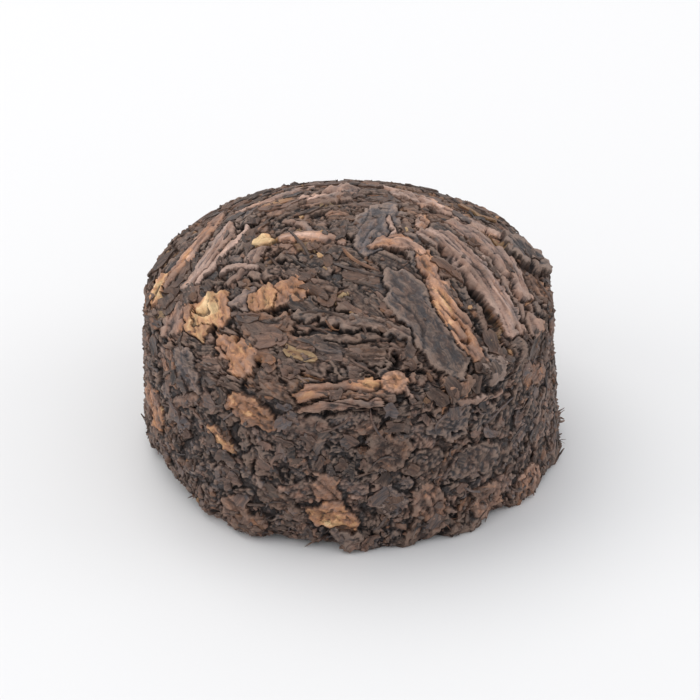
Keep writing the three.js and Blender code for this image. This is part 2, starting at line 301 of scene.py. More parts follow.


# The leaves that stand out in the face, one by one. Then more leaves are strewn evenly, by the same seeded
# rule and round the same places as in the solid, and small ones are strewn between and under them.
STANDING_OUT = (
    # from, to, width, bow, top, folds, tone, how motley it is, shade
    ((3.6, 36), (11.8, 33), 2.9, -0.1, 0.34, 0.025, 0.12, 0.06, 0.48),
    ((4.1, 73), (11.3, 42), 1.4, -0.5, 0.4, 0.1, 0.58, 0.2, 1.05),
    ((1.9, 33), (4.6, 69), 1.5, 0.85, 0.42, 0.1, 0.52, 0.2, 1.3),
    ((4.6, 147), (2.3, 17), 2.2, 0, 0.18, 0.03, 0.04, 0.04, 1.0),
    ((2.9, 132), (2.8, 66), 0.36, 0, 0.34, 0.02, 0.4, 0.03, 2.2),
    ((4.3, 105), (11.2, 60), 2.0, 0.5, 0.3, 0.1, 0.38, 0.15, 1.6),
    ((6.4, 119), (10.6, 77), 1.7, 0.8, 0.22, 0.1, 0.36, 0.15, 1.5),
    ((7.2, 96), (11.2, 68), 0.9, 0.4, 0.1, 0.08, 0.26, 0.12, 1.1),
    ((7.4, 168), (9.8, 112), 1.5, -0.7, 0.24, 0.08, 0.4, 0.15, 1.6),
    ((6.4, 160), (6.7, 128), 1.3, 0.3, 0.34, 0.12, 0.42, 0.2, 1.9),
    ((5.3, 126), (3.9, 100), 0.9, 0, 0.2, 0.1, 0.4, 0.2, 1.2),
    ((5.2, -148), (6.9, 176), 2.0, -0.2, 0.28, 0.14, 0.38, 0.25, 1.8),
    ((8.6, -170), (8.2, -128), 1.0, 0.3, 0.2, 0.08, 0.3, 0.2, 1.4),
    ((4.9, -88), (1.2, -5), 0.8, 0.5, 0.3, 0.05, 0.5, 0.16, 1.6),
    ((5.3, -92), (4.2, -88), 0.8, 0, 0.32, 0.05, 0.96, 0.1, 0.8),
    ((4.4, -120), (1.8, -70), 0.7, 0.3, 0.14, 0.06, 0.25, 0.15, 1.0),
    ((11.0, -86), (9.8, -130), 1.15, -0.4, 0.3, 0.07, 0.5, 0.14, 1.2),
    ((11.7, -79), (11.0, -94), 0.95, 0, 0.3, 0.09, 0.76, 0.2, 0.9),
    ((9.8, -78), (7.6, -118), 1.2, -0.4, 0.24, 0.05, 0.36, 0.1, 1.7),
    ((9.2, -77), (6.2, -112), 0.45, -0.3, 0.26, 0.02, 0.38, 0.05, 2.2),
    ((7.6, -66), (4.6, -98), 0.8, -0.3, 0.16, 0.06, 0.25, 0.1, 1.2),
    ((7.6, -76), (5.6, -66), 0.45, 0.35, 0.22, 0.02, 0.38, 0.05, 2.0),
    ((8.2, -56), (6.9, -48), 1.3, 0, 0.14, 0.05, 0.14, 0.1, 1.3),
    ((6.0, -51), (7.4, -38), 1.9, 0, 0.3, 0.08, 0.72, 0.1, 0.8),
    ((5.3, -42), (6.4, -27), 1.7, 0, 0.28, 0.08, 0.67, 0.08, 0.75),
    ((8.6, -69), (9.8, -50), 2.0, 0, 0.34, 0.09, 0.88, 0.2, 0.9),
    ((9.4, -69), (10.6, -52), 1.6, 0, 0.3, 0.08, 0.72, 0.2, 0.65),
    ((10.4, -74), (11.7, -62), 1.4, 0, 0.14, 0.09, 0.5, 0.3, 1.1),
    ((10.0, -48), (11.3, -31), 2.2, 0, 0.3, 0.08, 0.62, 0.2, 0.85),
    ((11.9, -58), (13.6, -46), 2.2, 0, 0.1, 0.04, 0.05, 0.06, 0.9),
    ((13.2, -37), (14.0, -20), 1.7, 0, 0.3, 0.08, 0.68, 0.05, 0.6),
    ((12.2, -16), (11.0, 9), 0.8, 0.25, 0.16, 0.09, 0.5, 0.25, 0.8),
    ((12.9, -14), (12.3, 10), 0.7, 0.2, 0.12, 0.09, 0.42, 0.2, 0.8),
    ((11.2, 15.5), (12.2, 17.5), 0.5, 0, 0.06, 0.04, 0.42, 0.1, 1.5),
    ((12.8, 29), (13.5, 47), 0.55, -0.45, 0.2, 0.06, 0.36, 0.2, 1.5),
    ((11.0, 73), (12.0, 65), 1.3, 0, 0.2, 0.07, 0.46, 0.2, 1.1),
    ((9.8, 112), (11.4, 95), 2.0, 0, 1.1, 0.08, 0.05, 0.06, 0.4),
    ((13.8, 22), (15.2, 33), 2.1, 0, 0.12, 0.05, 0.08, 0.08, 0.5),
    ((16.5, 30), (18.4, 43), 2.4, 0, 0.12, 0.05, 0.12, 0.08, 0.5),
    ((17.0, -11), (18.4, -4), 1.4, 0, 0.22, 0.05, 0.46, 0.1, 0.75),
    ((19.3, -12), (19.9, 3), 1.6, 0, 0.3, 0.1, 0.6, 0.2, 0.75),
    ((20.5, -6), (20.7, 4), 1.3, 0, 0.55, 0.08, 0.05, 0.05, 0.4),
    ((17.6, 22), (20.2, 25), 1.9, 0, 0.22, 0.08, 0.46, 0.15, 0.75),
    ((15.4, -43), (16.6, -33), 0.8, 0, 0.2, 0.08, 0.72, 0.2, 0.6),
    ((16.2, -79), (18.4, -66), 1.8, 0, 0.16, 0.1, 0.6, 0.3, 0.9),
)

# The ends of the solid's own twenty large leaves, which the strewn ones keep clear of.
SOLID_ENDS = (
    ((3.9, 36), (10.6, 29)),
    ((1.6, 40), (11.2, 43)),
    ((1.0, 120), (5.0, 150)),
    ((4.6, 92), (11.0, 62)),
    ((6.2, 118), (11.2, 78)),
    ((7.2, 168), (9.8, 112)),
    ((5.2, -100), (1.0, 20)),
    ((10.9, -84), (9.4, -128)),
    ((9.6, -74), (7.6, -118)),
    ((7.4, -64), (4.4, -112)),
    ((5.3, -50), (6.7, -27)),
    ((8.6, -66), (10.2, -47)),
    ((10.0, -46), (11.7, -33)),
    ((10.6, 10), (11.6, 20)),
    ((13.2, -35), (14.2, -22)),
    ((11.6, -16), (12.6, 14)),
    ((17.2, -11), (18.6, -4)),
    ((19.6, -9), (20.4, 3)),
    ((15.4, -42), (17.6, -32)),
    ((16.4, -78), (18.8, -64)),
)
STREWN = 80
TRIES = 7
leaf_draw = 20260


def draw():
    """The solid's own seeded draw, from 0 to 1, so that the strewn leaves lie where they do there."""
    global leaf_draw
    leaf_draw = (leaf_draw * 1664525 + 1013904223) % 2**32
    return leaf_draw / 2**32


def between(low, high):
    return low + (high - low) * draw()


FLATTENED = 0.4


def from_ends(start, end, width, bow, top=0.0, folds=0.0, tone=0.0, motley=0.0, shade=0.0):
    """A leaf from its two ends, each given by s and a bearing in degrees. The press flattens its top."""
    a, b = (
        np.array([s * math.cos(math.radians(d)), s * math.sin(math.radians(d))])
        for s, d in (start, end)
    )
    middle, run = (a + b) / 2, b - a
    s = math.hypot(*middle)
    bearing = math.atan2(middle[1], middle[0])
    out = run[0] * math.cos(bearing) + run[1] * math.sin(bearing)
    narrow = max(face_at(s)[0], LEAST_RADIUS) / s
    around = (run[1] * math.cos(bearing) - run[0] * math.sin(bearing)) * narrow
    length = math.hypot(out, around)
    return {
        "s": s,
        "bearing": bearing,
        "heading": math.atan2(around, out),
        "length": length,
        "width": width,
        "bow": bow,
        "top": FLATTENED * top,
        "taper": 0.35,
        "ragged": 0.9 if length > 2 * width else 1.2,
        "rolled": length > 3 * width,
        "folds": folds,
        "folds_per_mm": 3.2,
        "crack": 0.08 if s > shoulder_end else 0.24,
        "lies_over": 0.15 if s > shoulder_end else 0.3,
        "firm": 0.3 if s > shoulder_end else 0.8,
        "tone": tone,
        "motley": motley,
        "shade": shade,
        "seed": 7.3 * s,
    }


def farthest_place(taken):
    """The one of a few drawn places that is farthest from the places already taken."""
    best = None
    for _ in range(TRIES):
        s = float(np.interp(draw() * areas[-1], areas, lengths))
        bearing = between(0, 2 * math.pi)
        point = placed(s, bearing, 0.0)
        clear = min(99, min(float(np.linalg.norm(p - point)) for p in taken))
        if best is None or clear > best[0]:
            best = (clear, s, bearing, point)
    return best[1:]


standing_out = [from_ends(*row) for row in STANDING_OUT]
solid_leaves = [from_ends(start, end, 1, 0) for start, end in SOLID_ENDS]
taken = [placed(leaf["s"], leaf["bearing"], 0.0) for leaf in solid_leaves]
large_leaves = []
for _ in range(STREWN):
    s, bearing, point = farthest_place(taken)
    taken.append(point)
    rolled = draw() < (0.45 if s < dome_end else 0.15)
    if s > shoulder_end:
        heading = math.radians(90 + between(-60, 60))
    else:
        heading = float(swirl_at(bearing)) + math.radians(between(-25, 25))
    large_leaves.append(
        {
            "s": s,
            "bearing": bearing,
            "heading": heading,
            "length": between(3.4, 5.8) if rolled else between(2.2, 4.2),
            "width": between(0.8, 1.2) if rolled else between(1.5, 2.6),
            "bow": between(-0.5, 0.5) if rolled else between(-0.2, 0.2),
            "top": between(-0.1, 0.16) * (0.6 if s > shoulder_end else 1),
            "taper": (between(0.1, 0.7) + between(0.1, 0.7)) / 2,
            "ragged": 1.2,
            "rolled": rolled,
            "folds": rng.uniform(0.03, 0.08),
            "folds_per_mm": rng.uniform(2.2, 4.5),
            "crack": 0.08 if s > shoulder_end else 0.16,
            "lies_over": 0.04,
            "firm": 0.4,
            "tone": 0.1 + 0.45 * rng.random() ** 1.6,
            "motley": 0.14,
            "shade": rng.uniform(0.05, 0.9),
            "seed": rng.random() * 90,
        }
    )


def tones_of(count):
    """Tones of small pieces: most are dark or brown, and a few are rust, orange or golden."""
    kind = rng.random(count)
    value = rng.random(count)
    brown = 0.05 + 0.43 * value**1.2
    return np.where(kind < 0.91, brown, 0.48 + 0.42 * value)


def strew(count, length_range, width_range, top_range=(0, 0), stray=0.9, rolled=False):
    """Small pieces of leaf, spread evenly over the whole face: their places, sizes, folds and colours."""
    shortest, longest = length_range
    narrowest, widest = width_range
    s = np.interp(rng.random(count) * areas[-1], areas, lengths)
    bearing = rng.random(count) * 2 * math.pi
    on_dome = s < shoulder_end
    lie = np.where(on_dome, swirl_at(bearing), math.pi / 2)
    size = rng.random(count) ** 1.5
    tones = tones_of(count)
    return [
        {
            "s": s[i],
            "bearing": bearing[i],
            "heading": lie[i] + rng.normal(0, 0.3 if on_dome[i] else stray),
            "length": (shortest + (longest - shortest) * size[i]) * (1 if on_dome[i] else 0.55),
            "width": narrowest + (widest - narrowest) * rng.random(),
            "bow": rng.normal(0, 0.25),
            "top": rng.uniform(*top_range) * (1 if on_dome[i] else 0.6) - (0 if on_dome[i] else 0.04),
            "taper": rng.uniform(0.2, 0.9),
            "ragged": rng.uniform(0.6, 1.6),
            "rolled": rolled and on_dome[i],
            "folds": rng.uniform(0.02, 0.08),
            "folds_per_mm": rng.uniform(1.8, 5.5),
            "crack": rng.uniform(0.05, 0.25) * (1 if on_dome[i] else 0.3),
            "lies_over": 0.04,
            "firm": 0.0,
            "tone": tones[i] + 0.06 if on_dome[i] else 0.65 * tones[i],
            "motley": 0.12,
            "shade": rng.random() ** 1.5 * (0.58 if tones[i] > 0.45 or on_dome[i] else 1.3),
            "seed": rng.random() * 90,
        }
        for i in range(count)
    ]


SMALL_LEAVES = 1700
STRANDS = 900
small_leaves = strew(SMALL_LEAVES, (0.6, 2.0), (0.4, 1.2), (-0.2, -0.01))
strands = strew(STRANDS, (2.0, 6.5), (0.5, 1.5), (-0.15, 0.05), stray=0.6, rolled=True)
lower_leaves = small_leaves + strands + large_leaves
pressed_leaves = [
    leaf for leaves in (lower_leaves, standing_out) for leaf in sorted(leaves, key=lambda leaf: leaf["top"])
]

# The gaps between the leaves that show, which painted shade darkens, and then small ones everywhere.
GAPS = (
    # from, to, width, bow, depth
    ((9.1, 15), (9.8, 18.5), 0.9, 0, 0.9),
    ((4.9, 86), (10.4, 54.5), 0.85, 0.15, 0.6),
    ((7.0, 97), (11.0, 71), 0.4, 0.5, 0.5),
    ((11.7, 77), (12.2, 73), 0.5, 0, 0.6),
    ((10.6, 101), (10.9, 93), 0.5, 0, 0.5),
    ((6.7, 156), (6.3, 139), 0.35, 0.2, 0.45),
    ((6.2, -160), (5.2, 170), 0.5, 0, 0.45),
    ((10.1, -32), (12.4, -26.5), 0.35, 0.15, 0.5),
    ((15.0, -29), (17.5, -27.5), 0.3, 0.1, 0.45),
    ((9.6, -44), (10.0, -40), 0.6, 0, 0.5),
    ((9.7, -67), (9.5, -59), 0.4, 0, 0.35),
    ((6.9, -38), (7.1, -28), 0.3, 0, 0.35),
    ((13.2, -12), (12.8, 8), 0.3, 0.1, 0.35),
    ((4.0, -85), (1.6, -30), 0.3, 0.35, 0.25),
)
SMALL_GAPS = 150
gaps = [dict(from_ends(*row[:4]), depth=row[4]) for row in GAPS]
for leaf in strew(SMALL_GAPS, (0.3, 1.8), (0.16, 0.4), stray=0.6):
    gaps.append(dict(leaf, depth=rng.uniform(0.15, 0.5)))

# How far the broken base edge falls short of the mould's face, by the bearing. Small bites are broken out
# of it too. Neither these nor the gaps go lower than the lowest level.
BASE_LINE = np.array(
    [
        (-180, 0.15),
        (-130, 0.3),
        (-95, 0.1),
        (-82, 0.25),
        (-73, 0.6),
        (-57, 0.75),
        (-47, 0.4),
        (-38, 0.0),
        (-24, 0.15),
        (-10, 0.0),
        (12, 0.0),
        (20, -0.2),
        (28, -0.6),
        (36, -0.35),
        (44, 0.0),
        (54, -0.2),
        (65, -0.5),
        (78, -0.4),
        (100, 0.0),
        (140, 0.3),
        (180, 0.15),
    ]
)
BROKEN_EDGE = 1.2
BITE_DEPTH = 0.35
LOWEST = -1.2
edge_middle = (wall_end + edge_end) / 2

# The bed of broken leaf under and between the leaves: its level, its tone and shade, and how many lumps
# and specks of grit there are to a millimetre. Then its grains: how many to a millimetre, their rise and
# how far they differ in colour.
BED = -0.34
BED_ON_WALL = 0.12
BED_LUMPS = 0.1
BED_TONE_AND_SHADE = (0.1, 0.3)
LUMPS_PER_MM = 1.1
GRIT_PER_MM = 3.4
SPECKS_PER_MM = 7.5
GRAINS = ((2.6, 0.045, 0.5), (5.2, 0.035, 0.7))

# The relief of the ring that it stands on is lifted this much, and what then passes the base is cut level.
RING_LIFT = 0.2

# The make of a pressed leaf: its edge is torn ragged and rounds off, and its face splits and streaks.
RAGGED = 0.2
EDGE_FALL = 0.11
EDGE_ROUND = 0.1
CRACK_WIDTH = 0.09
SPLIT_WIDTH = 0.08
SPLIT_DEPTH = 0.08
TWIST = 0.3
STREAKY = 0.55
DEEPEST = -0.6

# One leaf stem was broken off just in the face, so its round end shows, with its pith.
STEM_END = dict(from_ends((10.95, 10.4), (10.95, 17.4), 1.4, 0), top=0.14)
STEM_RING = (0.60, 1.35)
STEM_PITH = (0.68, 1.1)
STEM_ROUNDING = 0.1
STEM_DIP = 0.06


def along_and_across(leaf, s, bearing):
    """How far points of the face are along a leaf and across it, from its middle."""
    under, from_pole, widen = lie_of(leaf)
    reach = full_length - s if under else s
    turn = (leaf["bearing"] - bearing) if under else (bearing - leaf["bearing"])
    u = reach * np.cos(turn) - from_pole
    v = reach * np.sin(turn) / widen
    cos, sin = math.cos(leaf["heading"]), math.sin(leaf["heading"])
    return u * cos + v * sin, v * cos - u * sin


def press(s, bearing):
    """The relief at points of the face: its height, the tone and shade there, the place on the leaf."""
    flat = placed(s, bearing, 0.0)
    lumps = noise_at(flat, LUMPS_PER_MM)
    grit = noise_at(flat, GRIT_PER_MM)
    on_wall = np.interp(s, (dome_end - 1.5, shoulder_end + 0.5), (0, 1))
    height = BED + BED_ON_WALL * on_wall + BED_LUMPS * lumps[:, 0]
    tone_and_shade = np.full((len(s), 2), BED_TONE_AND_SHADE)
    leaf_place = np.stack([flat[:, 0] + flat[:, 2], flat[:, 1] - flat[:, 2]], axis=1)
    ragged = RAGGED * (lumps[:, 1:] + 0.6 * grit[:, 1:])
    order = np.argsort(s)
    sorted_s = s[order]

    def near(leaf):
        reach = leaf["length"] / 2 + abs(leaf["bow"]) + 0.5
        low, high = np.searchsorted(sorted_s, (leaf["s"] - reach, leaf["s"] + reach))
        band = order[low:high]
        middle = placed(leaf["s"], leaf["bearing"], 0.0)
        at = band[((flat[band] - middle) ** 2).sum(axis=1) < reach**2]
        x, y = along_and_across(leaf, s[at], bearing[at])
        return at, x, y - leaf["bow"] * (1 - np.minimum(np.abs(2 * x / leaf["length"]), 1) ** 2)

    # Each leaf is pressed over those before it, and a crack is left round it.
    firm = np.zeros(len(s))
    for leaf in pressed_leaves:
        at, x, y = near(leaf)
        seed = leaf["seed"]
        twisted = leaf["folds_per_mm"] * (y + TWIST * math.sin(seed) * x)
        folds = 2 * np.abs(fold_noise(0.3 * x, twisted, seed)) - 1
        folds += 0.9 * np.abs(fold_noise(0.6 * x, 2.3 * twisted, seed + 31))
        crumple = 2 * np.abs(fold_noise(0.9 * x, 1.2 * y, seed + 19)) - 1
        crumple += 1.4 * np.abs(fold_noise(2.1 * x, 2.7 * y, seed + 23)) - 0.5
        folds = folds + 0.4 * crumple if leaf["rolled"] else 0.35 * folds + crumple
        mottle = fold_noise(0.6 * x, 1.3 * y, seed + 50) + 0.6 * fold_noise(1.6 * x, 4.5 * y, seed + 63)
        streaks = fold_noise(0.8 * x, 5 * y, seed + 8)
        splits = np.abs(fold_noise(0.35 * x, 1.5 * y, seed + 77))
        x = x + leaf["ragged"] * ragged[at, 0]
        y = y + leaf["ragged"] * ragged[at, 1]
        share = np.minimum(np.abs(2 * x / leaf["length"]), 1)
        if leaf["rolled"]:
            half = leaf["width"] / 2 * (1 - leaf["taper"] * share**3)
            crown = 0.05
        else:
            half = leaf["width"] / 2 * (1 - share**2.6) ** 0.6
            crown = 0.015
        wavy = 0.6 if leaf["length"] < 2 * leaf["width"] else 0.25
        half = half * (1 + wavy * fold_noise(0.7 * x, np.sign(y), seed + 11))
        edge = np.minimum(half - np.abs(y), leaf["length"] / 2 - np.abs(x))
        here = leaf["top"] - crown * (y / np.maximum(half, 0.05)) ** 2 + leaf["folds"] * folds
        here -= EDGE_FALL * np.clip(1 - edge / EDGE_ROUND, 0, 1) ** 2
        here -= SPLIT_DEPTH * np.clip(1 - splits / SPLIT_WIDTH, 0, 1)
        inside = (edge > 0) & (here > height[at] - leaf["lies_over"])
        round_it = (edge <= 0) & (edge > -CRACK_WIDTH) & (height[at] < leaf["top"] + 0.1)
        height[at[round_it]] -= leaf["crack"] * (1 + edge[round_it] / CRACK_WIDTH)
        on = at[inside]
        height[on] = here[inside]
        tone_and_shade[on, 0] = leaf["tone"] + leaf["motley"] * mottle[inside]
        tone_and_shade[on, 1] = leaf["shade"] * (1 + STREAKY * streaks[inside])
        firm[on] = leaf["firm"]
        leaf_place[on, 0] = x[inside] + seed
        leaf_place[on, 1] = y[inside] + seed
    height = np.maximum(height, DEEPEST)

    # The gaps go down into whatever lies there, and the base edge is broken off.
    for gap in gaps:
        at, x, y = near(gap)
        x = x + 1.2 * ragged[at, 0]
        y = y + 1.2 * ragged[at, 1]
        half = gap["width"] / 2
        past_end = np.maximum(np.abs(x) - gap["length"] / 2 + half, 0)
        height[at] -= gap["depth"] * np.clip(1.3 - 1.3 * np.hypot(past_end, y) / half, 0, 1)
    base_edge = np.exp(-(((s - edge_middle) / BROKEN_EDGE) ** 2))
    bites = noise_at(flat * (1, 1, 0), 0.5)[:, 0] + 0.6 * noise_at(flat * (1, 1, 0), 1.2)[:, 0]
    height += base_edge * (BITE_DEPTH * (bites - 0.2) - read_round(BASE_LINE, bearing))
    height = np.maximum(height, LOWEST)

    # Grains and specks roughen the face, the grains less so on the dome and on firm leaves.
    crumbly = (0.35 + 0.65 * on_wall) * (1 - firm)
    for scale, rise, tint in GRAINS:
        clear, values = grains_at(flat, scale)
        height += crumbly * rise * (np.minimum(3 * clear, 1) - 0.7)
        tone_and_shade[:, 0] += crumbly * 0.2 * tint * (values - 0.5)
        tone_and_shade[:, 1] += crumbly * tint * (values**2 - 0.33)
    height += crumbly * 0.05 * (2 * np.abs(grit[:, 0]) - 0.7)
    height += 0.018 * noise_at(flat, SPECKS_PER_MM)[:, 0]

    # The end of the stem is set in, with a groove round it.
    from_stem = np.hypot(*along_and_across(STEM_END, s, bearing)) / STEM_END["width"] * 2
    from_stem += 0.2 * lumps[:, 1] + 0.08 * grit[:, 1]
    stem = from_stem < 1
    height[stem] = STEM_END["top"] - STEM_ROUNDING * from_stem[stem] ** 4 + 0.03 * grit[stem, 0]
    height[stem] -= STEM_DIP * np.clip(1.6 - from_stem[stem] / 0.3, 0, 1)
    tone_and_shade[stem] = np.where(from_stem[stem, None] < 0.5, STEM_PITH, STEM_RING)
    height[(from_stem >= 1) & (from_stem < 1.2)] -= STEM_DIP

    tone_and_shade = np.clip(tone_and_shade, 0, 3)
    rests = (s > edge_end) & (s < ring_end)
    return np.where(rests, height + RING_LIFT, height), tone_and_shade, leaf_place


SMOOTHINGS = 14
CREST_RANGE = 0.12


def crests(mesh, height):
    """From 0 in a furrow to 1 on a crest: how each point stands over the points round it."""
    ends = np.empty(len(mesh.edges) * 2, dtype=np.int32)
    mesh.edges.foreach_get("vertices", ends)
    a, b = ends[::2], ends[1::2]
    count = len(height)
    beside = np.bincount(a, minlength=count) + np.bincount(b, minlength=count)
    level = height
    for _ in range(SMOOTHINGS):
        level = (np.bincount(a, level[b], count) + np.bincount(b, level[a], count)) / beside
    return np.clip(0.5 + (height - level) / CREST_RANGE, 0, 1)


def tea_layers(mesh, tea_values, flat_places):
    """Stores on a mesh what its finish reads: tone, shade, depth and crest, and the place on the leaf."""
    layer = mesh.color_attributes.new(name="tea", type="FLOAT_COLOR", domain="POINT")
    layer.data.foreach_set("color", np.asarray(tea_values, dtype=np.float32).ravel())
    corner = np.empty(len(mesh.loops), dtype=np.int32)
    mesh.loops.foreach_get("vertex_index", corner)
    uv = mesh.uv_layers.new(name="leaf") if not mesh.uv_layers else mesh.uv_layers[0]
    uv.name = "leaf"
    uv.data.foreach_set("uv", np.asarray(flat_places)[corner].ravel())


def points_of(mesh):
    points = np.empty(len(mesh.vertices) * 3)
    mesh.vertices.foreach_get("co", points)
    return points.reshape(-1, 3)


# Each pressed piece is closed. This share of it is the pressed face, and the rest lies hidden, this deep.
SHOWN_SHARE = 0.94
SKIN = 1.4

# Down in the cracks painted shade darkens the tea over this height, and is darkest at this level.
PAINTED_SHADE_OVER = 0.55
PAINTED_SHADE_DARKEST = -0.8


def press_onto(mesh, s, bearing, hidden):
    """Moves a mesh to the pressed face, stores its finish, and sinks its hidden points under the skin."""
    height, tone_and_shade, leaf_place = press(s, bearing)
    # The depth drives the painted shade in the cracks; the crest drives the pale crests and the painted
    # shade in furrows.
    depth = np.clip((height - PAINTED_SHADE_DARKEST) / PAINTED_SHADE_OVER, 0, 1)
    tea = np.column_stack([tone_and_shade, depth, crests(mesh, height)])
    tea_layers(mesh, tea, leaf_place)
    return placed(s, bearing, np.where(hidden, -SKIN, height))


def press_cap(name, cuts, pole, end):
    """A closed piece whose shown side is the pressed face from a pole to an end of the profile."""
    bpy.ops.object.select_all(action="DESELECT")
    bpy.ops.mesh.primitive_cube_add(size=2)
    piece = bpy.context.object
    piece.name = name
    bpy.ops.object.mode_set(mode="EDIT")
    bpy.ops.mesh.select_all(action="SELECT")
    for number in cuts:
        bpy.ops.mesh.subdivide(number_cuts=number)
    bpy.ops.object.mode_set(mode="OBJECT")
    ball = np.tan(points_of(piece.data) * math.pi / 4)
    ball /= np.linalg.norm(ball, axis=1)[:, None]
    downwards = 1 if pole < end else -1
    share = (1 - downwards * ball[:, 2]) / 2
    pole_area, end_area = np.interp((pole, end), lengths, areas)
    shown_area = pole_area + (end_area - pole_area) * np.minimum(share / SHOWN_SHARE, 1)
    s = np.interp(shown_area, areas, lengths)
    bearing = np.arctan2(ball[:, 0], -ball[:, 1])
    hidden = share > SHOWN_SHARE
    places = press_onto(piece.data, s, bearing, hidden)
    inwards = (share[hidden] - SHOWN_SHARE) / (1 - SHOWN_SHARE)
    places[hidden, :2] *= np.sqrt(1 - inwards)[:, None]
    places[hidden, 2] -= downwards * SKIN * np.minimum(8 * inwards, 1)
    piece.data.vertices.foreach_set("co", (places * MM).ravel())
    piece.data.update()
    return piece


def press_band(name, around, up, top, bottom):
    """A closed ring whose shown side is the pressed face from a top to a bottom of the profile."""
    bpy.ops.object.select_all(action="DESELECT")
    bpy.ops.mesh.primitive_grid_add(x_subdivisions=around, y_subdivisions=up, size=2)
    piece = bpy.context.object
    piece.name = name
    turn, slant = math.pi * points_of(piece.data)[:, :2].T
    radius = 2 + np.cos(slant)
    ring = np.stack([radius * np.sin(turn), -radius * np.cos(turn), np.sin(slant)], axis=1)
    piece.data.vertices.foreach_set("co", ring.ravel())
    bpy.ops.object.mode_set(mode="EDIT")
    bpy.ops.mesh.select_all(action="SELECT")
    bpy.ops.mesh.remove_doubles(threshold=0.0001)
    bpy.ops.mesh.normals_make_consistent(inside=False)
    bpy.ops.object.mode_set(mode="OBJECT")
    x, y, z = points_of(piece.data).T
    share = np.arctan2(z, np.hypot(x, y) - 2) / math.pi
    s = top + (bottom - top) * np.clip((1 - share / SHOWN_SHARE) / 2, 0, 1)
    hidden = np.abs(share) > SHOWN_SHARE
    places = press_onto(piece.data, s, np.arctan2(x, -y), hidden)
    piece.data.vertices.foreach_set("co", (places * MM).ravel())
    piece.data.update()
    return piece


